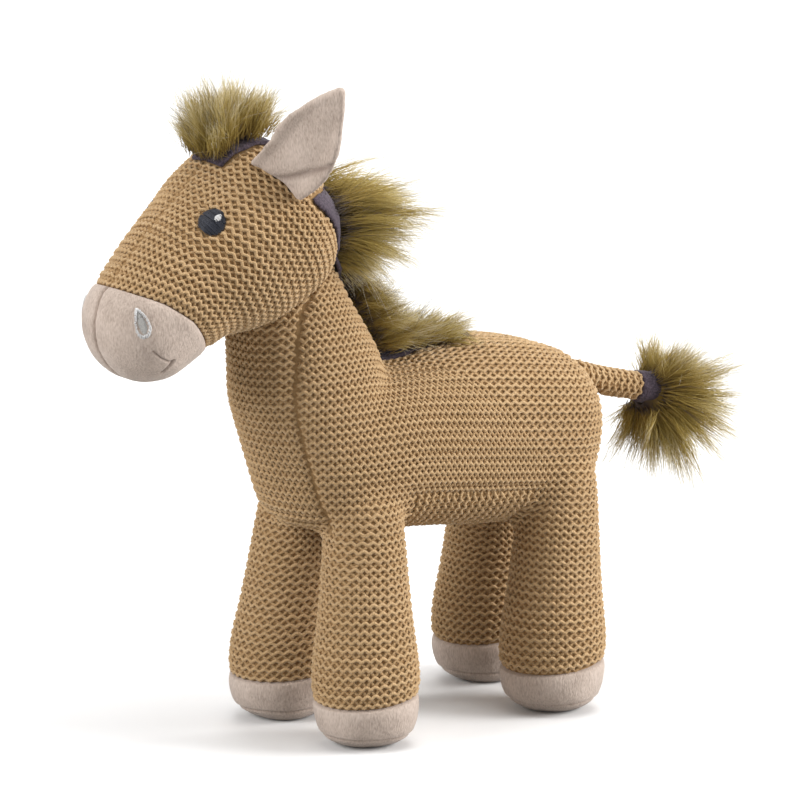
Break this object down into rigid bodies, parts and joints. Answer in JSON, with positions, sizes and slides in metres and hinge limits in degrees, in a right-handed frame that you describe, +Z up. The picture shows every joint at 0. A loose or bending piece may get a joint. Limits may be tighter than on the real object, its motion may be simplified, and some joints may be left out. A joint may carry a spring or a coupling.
{
  "type": "plush horse",
  "caption": "Knitted plush horse standing on pale plush hooves, with a pale muzzle, embroidered eyes and a faux-fur mane, forelock and tail tuft.",
  "frame": {"origin": "on the floor under the middle of the bounding box", "axes": "+Z up, -X toward the nose and +X toward the tail, -Y toward the horse's left side"},
  "size_m": [0.3714, 0.1256, 0.3107],
  "materials": {
    "knit": "matte",
    "pale_plush": "matte",
    "stuffing": "matte",
    "fur_backing": "matte",
    "fur_pile": "matte",
    "dark_thread": "matte",
    "white_thread": "matte",
    "grey_thread": "matte"
  },
  "bodies": {
    "body": {"side_panel_left": "knit", "side_panel_right": "knit", "neck_skin": "knit", "chest_panel": "knit", "belly_panel": "knit", "head_left": "knit", "head_right": "knit", "leg_front_left": "knit", "leg_front_right": "knit", "leg_rear_left": "knit", "leg_rear_right": "knit", "muzzle_left": "pale_plush", "muzzle_right": "pale_plush", "hoof_front_left": "pale_plush", "hoof_front_right": "pale_plush", "hoof_rear_left": "pale_plush", "hoof_rear_right": "pale_plush", "sole_front_left": "pale_plush", "sole_front_right": "pale_plush", "sole_rear_left": "pale_plush", "sole_rear_right": "pale_plush", "body_stuffing": "stuffing", "head_stuffing": "stuffing", "forelock_backing": "fur_backing", "mane_backing": "fur_backing", "forelock_pile": "fur_pile", "mane_pile_upper": "fur_pile", "mane_pile_lower": "fur_pile", "eye_left": "dark_thread", "eye_right": "dark_thread", "eye_glint_left": "white_thread", "eye_glint_right": "white_thread", "nostril_rim_left": "white_thread", "nostril_rim_right": "white_thread", "nostril_centre_left": "grey_thread", "nostril_centre_right": "grey_thread"},
    "ear_left": {"ear_left_front": "pale_plush", "ear_left_back": "pale_plush"},
    "ear_right": {"ear_right_front": "pale_plush", "ear_right_back": "pale_plush"},
    "tail": {"tail_skin": "knit", "tail_stuffing": "stuffing", "tail_tuft_backing": "fur_backing", "tail_tuft": "fur_pile"}
  },
  "joints": [
    {"name": "ear_left_fold", "type": "hinge", "parent": "body", "child": "ear_left", "pos_m": [-0.10648, -0.02445, 0.26613], "axis": [0.5515, -0.579, -0.6004], "range_deg": [-25, 45], "stiffness_Nm_per_rad": 0.01},
    {"name": "ear_right_fold", "type": "hinge", "parent": "body", "child": "ear_right", "pos_m": [-0.09748, 0.03155, 0.26613], "axis": [0.6041, -0.5867, 0.5394], "range_deg": [-4, 65], "stiffness_Nm_per_rad": 0.01},
    {"name": "tail_lift", "type": "hinge", "parent": "body", "child": "tail", "pos_m": [0.08529, 0.00355, 0.145], "axis": [0, 1, 0], "range_deg": [-28, 45]}
  ]
}
